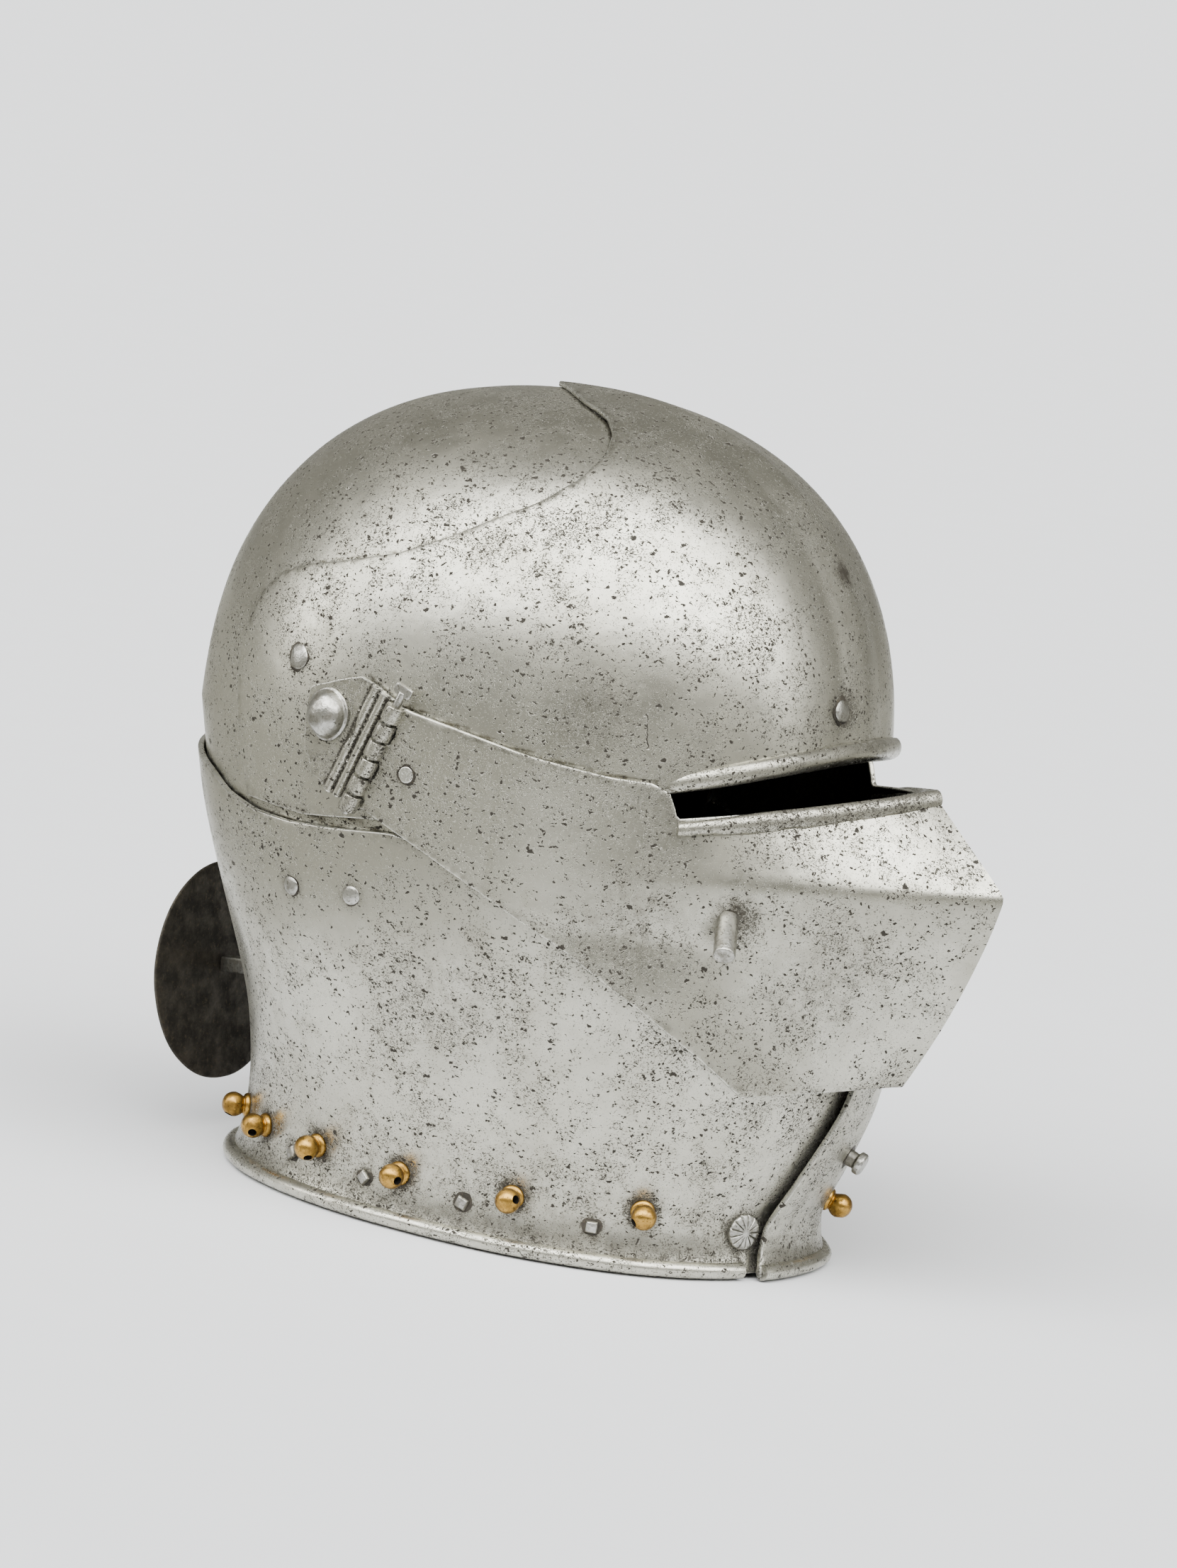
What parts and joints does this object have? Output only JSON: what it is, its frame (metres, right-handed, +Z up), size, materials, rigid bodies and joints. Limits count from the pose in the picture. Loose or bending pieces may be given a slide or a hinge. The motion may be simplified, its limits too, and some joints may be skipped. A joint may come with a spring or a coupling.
{
  "type": "armet helmet",
  "caption": "Closed steel helmet with rounded skull, brow plate, beaked visor on side pivots, cheek plates meeting at the chin, neck rondel and brass balls round the rim.",
  "frame": {"origin": "centre of the bounding box at the level of the neck rim the helmet stands on", "axes": "+Z up, -Y the way the face looks, -X the right side of the wearer"},
  "size_m": [0.2086, 0.2848, 0.2664],
  "materials": {
    "steel": "worn polished plate steel with dark pitting",
    "brass": "dull tarnished brass",
    "dark_iron": "blackened rusty iron"
  },
  "bodies": {
    "helmet": {"skull": "steel", "brow_reinforce": "steel", "cheek_plate_right": "steel", "cheek_plate_left": "steel", "cheek_hinge_right": "steel", "cheek_hinge_left": "steel", "pivot_stud_right": "steel", "pivot_stud_left": "steel", "rondel_disc": "dark_iron", "rondel_stem": "steel", "rosette_rivet": "steel", "chin_stud": "steel", "brow_rivet_right": "steel", "vervelle_01": "brass", "vervelle_02": "brass", "vervelle_03": "brass", "vervelle_04": "brass", "vervelle_05": "brass", "vervelle_06": "brass", "vervelle_07": "brass", "vervelle_08": "brass", "vervelle_09": "brass", "vervelle_10": "brass", "vervelle_11": "brass", "vervelle_12": "brass", "vervelle_13": "brass", "vervelle_14": "brass", "temple_rivet_right": "steel", "cheek_rivet_rear_right": "steel", "cheek_rivet_front_right": "steel", "rim_rivet_1_right": "steel", "rim_rivet_2_right": "steel", "rim_rivet_3_right": "steel", "rim_rivet_4_right": "steel", "temple_rivet_left": "steel", "cheek_rivet_rear_left": "steel", "cheek_rivet_front_left": "steel", "rim_rivet_1_left": "steel", "rim_rivet_2_left": "steel", "rim_rivet_3_left": "steel", "rim_rivet_4_left": "steel"},
    "visor": {"visor": "steel", "lift_peg": "steel", "visor_rivet_right": "steel", "pivot_arm_right": "steel", "hinge_pin_right": "steel", "visor_rivet_left": "steel", "pivot_arm_left": "steel", "hinge_pin_left": "steel"}
  },
  "joints": [
    {"name": "visor_lift", "type": "hinge", "parent": "helmet", "child": "visor", "pos_m": [0, 0.04914, 0.161], "axis": [-1, 0, 0], "range_deg": [0, 70]}
  ]
}
